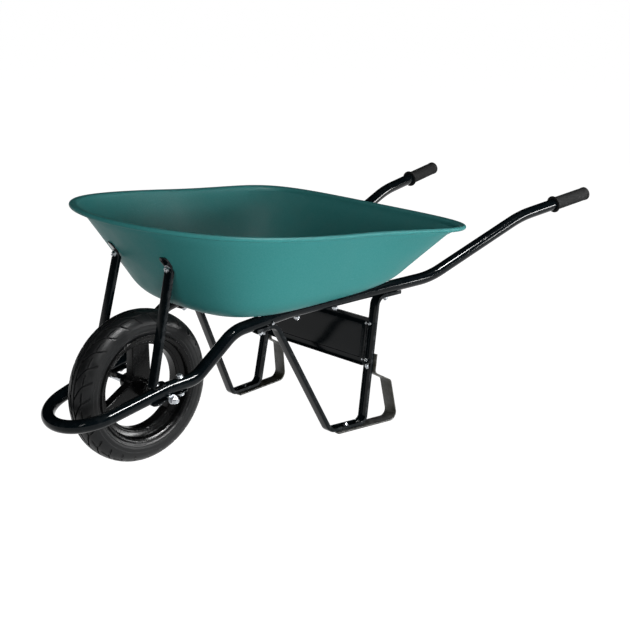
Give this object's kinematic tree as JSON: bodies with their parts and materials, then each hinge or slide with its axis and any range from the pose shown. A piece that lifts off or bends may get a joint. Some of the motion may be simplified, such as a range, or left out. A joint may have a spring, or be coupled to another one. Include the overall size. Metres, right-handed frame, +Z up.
{
  "type": "wheelbarrow",
  "caption": "Single-wheel wheelbarrow with a pressed steel tray, a bent-tube frame that loops round a pneumatic wheel, channel legs on flat skid bars, and rubber grips",
  "frame": {"origin": "on the ground under the middle of the bounding box", "axes": "+X towards the handles, +Y towards the right of a user at the handles, +Z up"},
  "size_m": [1.649, 0.7658, 0.5978],
  "materials": {
    "tray_paint": "satin teal enamel on pressed sheet steel",
    "frame_paint": "gloss black enamel on steel tube, channel and sheet",
    "skid_paint": "matt olive-black paint on flat steel bar",
    "zinc": "bright zinc-plated fasteners, spacers and axle",
    "tyre_rubber": "dark grey tyre rubber",
    "tube_rubber": "smooth butyl inner tube and valve stem",
    "grip_rubber": "matt moulded handle grips with a knurled surface",
    "rim_paint": "black painted pressed steel rim",
    "nylon": "black nylon bushes and valve cap"
  },
  "bodies": {
    "frame": {"axle": "zinc", "axle_bracket_left": "frame_paint", "axle_bracket_right": "frame_paint", "axle_nut_left": "zinc", "axle_nut_right": "zinc", "axle_spacer_left": "zinc", "axle_spacer_right": "zinc", "bracket_bolt_front_left": "zinc", "bracket_bolt_front_right": "zinc", "bracket_bolt_rear_left": "zinc", "bracket_bolt_rear_right": "zinc", "bracket_nut_front_left": "zinc", "bracket_nut_front_right": "zinc", "bracket_nut_rear_left": "zinc", "bracket_nut_rear_right": "zinc", "foot_bolt_left": "zinc", "foot_bolt_right": "zinc", "frame_tube": "frame_paint", "front_strut_left": "frame_paint", "front_strut_right": "frame_paint", "grip_left": "grip_rubber", "grip_right": "grip_rubber", "leg_bolt_front_left": "zinc", "leg_bolt_front_right": "zinc", "leg_bolt_rear_left": "zinc", "leg_bolt_rear_right": "zinc", "leg_left": "frame_paint", "leg_panel": "frame_paint", "leg_right": "frame_paint", "panel_bolt_bottom_left": "zinc", "panel_bolt_bottom_right": "zinc", "panel_bolt_top_left": "zinc", "panel_bolt_top_right": "zinc", "rail_screw_left": "zinc", "rail_screw_right": "zinc", "skid_bar_left": "skid_paint", "skid_bar_right": "skid_paint", "skid_bolt_left": "zinc", "skid_bolt_right": "zinc", "strut_bolt_left": "zinc", "strut_bolt_right": "zinc", "strut_nut_left": "zinc", "strut_nut_right": "zinc", "tray": "tray_paint", "tray_bolt_front_left": "zinc", "tray_bolt_front_right": "zinc", "tray_bolt_rear_left": "zinc", "tray_bolt_rear_right": "zinc", "tray_nut_front_left": "zinc", "tray_nut_front_right": "zinc", "tray_nut_rear_left": "zinc", "tray_nut_rear_right": "zinc"},
    "wheel": {"rim": "rim_paint", "tyre": "tyre_rubber", "inner_tube": "tube_rubber", "valve_cap": "nylon", "hub_bush_left": "nylon", "hub_bush_right": "nylon"}
  },
  "joints": [
    {"name": "wheel_spin", "type": "hinge", "parent": "frame", "child": "wheel", "pos_m": [-0.57715, 0, 0.185], "axis": [0, 1, 0], "continuous": true}
  ]
}
